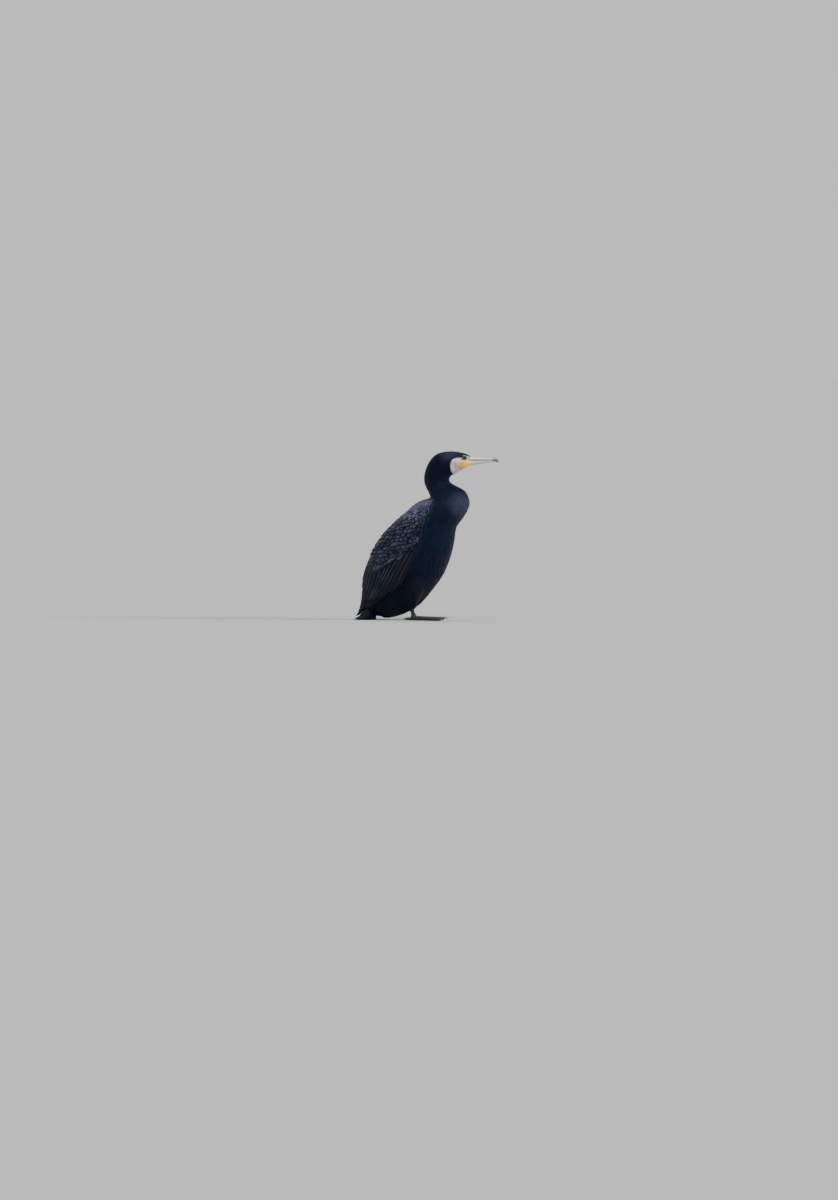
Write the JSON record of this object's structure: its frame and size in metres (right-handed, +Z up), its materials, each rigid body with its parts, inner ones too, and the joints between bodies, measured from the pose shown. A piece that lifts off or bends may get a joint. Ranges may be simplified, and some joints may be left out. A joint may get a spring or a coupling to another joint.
{
  "type": "great cormorant",
  "caption": "Great cormorant standing upright at rest, a still life-size model with folded wings, hooked bill and webbed feet.",
  "frame": {"origin": "on the floor, midway between the tip of the bill and the end of the tail, on the bird's own mid plane", "axes": "+X the way the bird faces, +Y its left side, +Z up"},
  "size_m": [0.3972, 0.1614, 0.4563],
  "materials": {
    "plumage": "glossy blue-black contour feathers",
    "covert": "bronze-grey wing coverts with black fringes",
    "flight": "stiff black flight and tail feathers",
    "gular": "bare yellow-orange skin",
    "bill": "pale grey horn with a dark ridge",
    "eye": "wet emerald-green iris",
    "leg": "black scaly skin",
    "claw": "dark worn horn"
  },
  "bodies": {
    "root": {"head": "plumage", "neck_upper": "plumage", "neck_lower": "plumage", "trunk": "plumage", "thigh_left": "plumage", "thigh_right": "plumage", "wing_left": "covert", "wing_right": "covert", "primaries_left": "flight", "primaries_right": "flight", "tail": "flight", "gular_skin": "gular", "bill_upper": "bill", "bill_lower": "bill", "eye_left": "eye", "eye_right": "eye", "shank_left": "leg", "shank_right": "leg", "foot_left": "leg", "foot_right": "leg", "claw_left_hind": "claw", "claw_left_inner": "claw", "claw_left_middle": "claw", "claw_left_outer": "claw", "claw_right_hind": "claw", "claw_right_inner": "claw", "claw_right_middle": "claw", "claw_right_outer": "claw"}
  },
  "joints": []
}
